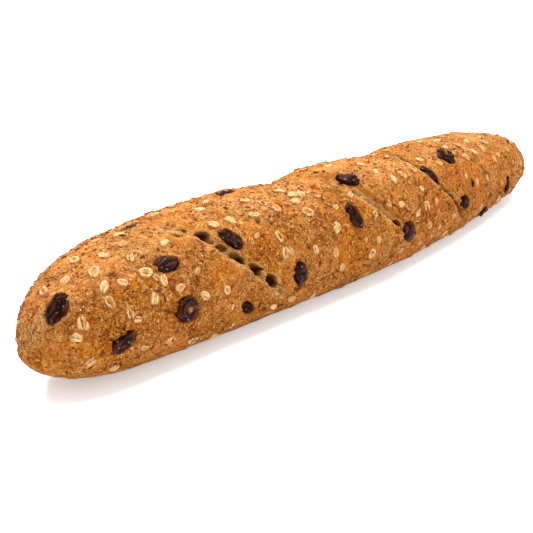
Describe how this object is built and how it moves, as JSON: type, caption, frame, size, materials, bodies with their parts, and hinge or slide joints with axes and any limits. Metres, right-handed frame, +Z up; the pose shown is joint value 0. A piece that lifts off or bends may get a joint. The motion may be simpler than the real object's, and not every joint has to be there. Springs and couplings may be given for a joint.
{
  "type": "baguette",
  "caption": "Short wholegrain baguette with slanting cuts over its top, raisins set into the crust and rolled oats baked onto it.",
  "frame": {"origin": "on the tray, under the middle of the loaf's box", "axes": "+X along the loaf towards its slimmer end, -Y towards the side where the cuts end, +Z up"},
  "size_m": [0.33, 0.068, 0.0493],
  "materials": {
    "crust": "dry, finely rough baked crust",
    "raisin": "soft sheen, wrinkled"
  },
  "bodies": {
    "root": {"loaf": "crust", "raisin_01": "raisin", "raisin_02": "raisin", "raisin_03": "raisin", "raisin_04": "raisin", "raisin_05": "raisin", "raisin_06": "raisin", "raisin_07": "raisin", "raisin_08": "raisin", "raisin_09": "raisin", "raisin_10": "raisin", "raisin_11": "raisin", "raisin_12": "raisin", "raisin_13": "raisin", "raisin_14": "raisin", "raisin_15": "raisin", "raisin_16": "raisin", "raisin_17": "raisin", "raisin_18": "raisin", "raisin_19": "raisin", "raisin_20": "raisin", "raisin_21": "raisin", "raisin_22": "raisin", "raisin_23": "raisin", "raisin_24": "raisin", "raisin_25": "raisin", "raisin_26": "raisin", "raisin_27": "raisin", "raisin_28": "raisin", "raisin_29": "raisin", "raisin_30": "raisin", "raisin_31": "raisin", "raisin_32": "raisin"}
  },
  "joints": []
}
